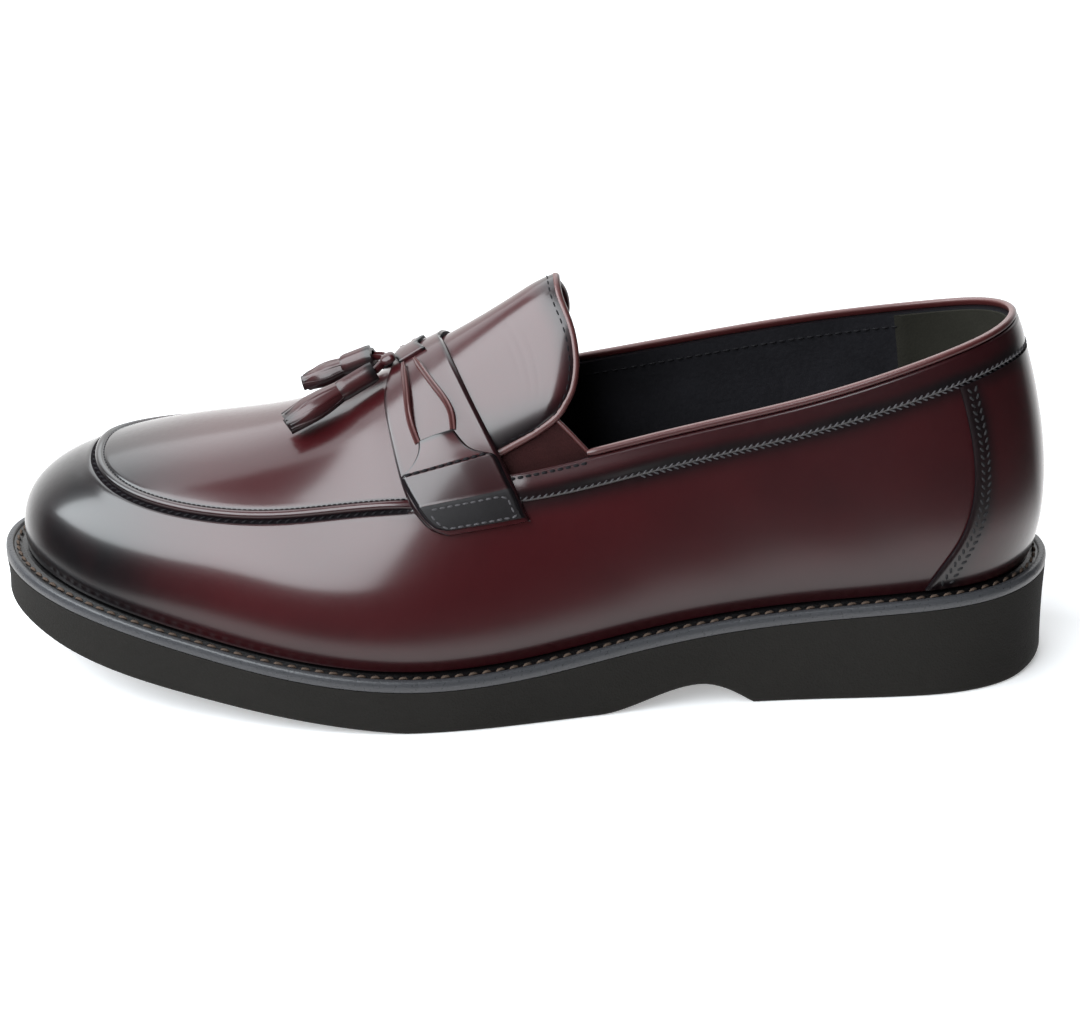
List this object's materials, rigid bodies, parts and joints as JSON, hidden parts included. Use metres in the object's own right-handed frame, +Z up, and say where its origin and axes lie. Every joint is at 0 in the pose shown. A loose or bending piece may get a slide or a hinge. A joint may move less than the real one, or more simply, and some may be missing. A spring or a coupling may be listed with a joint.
{
  "type": "tassel loafer",
  "caption": "Left slip-on tassel loafer in burnished burgundy leather: apron toe, saddle strap with tied tassels, long tongue, bound collar and a thick rubber sole with a stitched welt.",
  "frame": {"origin": "floor level under the middle of the shoe's plan outline", "axes": "+X towards the toe, +Y towards the outer side of the foot, +Z up"},
  "size_m": [0.2996, 0.1086, 0.1181],
  "materials": {
    "upper_leather": "glossy burnished",
    "binding_leather": "satin",
    "tie_leather": "satin",
    "gore_elastic": "matte",
    "lining": "matte",
    "welt": "satin",
    "sole_rubber": "matte"
  },
  "bodies": {
    "root": {"outsole": "sole_rubber", "welt": "welt", "insole": "lining", "upper": "upper_leather", "collar_band": "upper_leather", "heel_counter": "upper_leather", "collar_binding": "binding_leather", "tongue": "upper_leather", "tongue_binding": "binding_leather", "gore_lateral": "gore_elastic", "gore_medial": "gore_elastic", "strap": "upper_leather", "strap_tab_lateral": "upper_leather", "strap_tab_medial": "upper_leather", "thong_front_lateral": "tie_leather", "thong_front_medial": "tie_leather", "thong_rear_lateral": "tie_leather", "thong_rear_medial": "tie_leather", "tie_keeper": "tie_leather", "tie_loop": "tie_leather", "tassel_cap_lateral": "tie_leather", "tassel_cap_medial": "tie_leather", "tassel_skirt_lateral": "tie_leather", "tassel_skirt_medial": "tie_leather"}
  },
  "joints": []
}
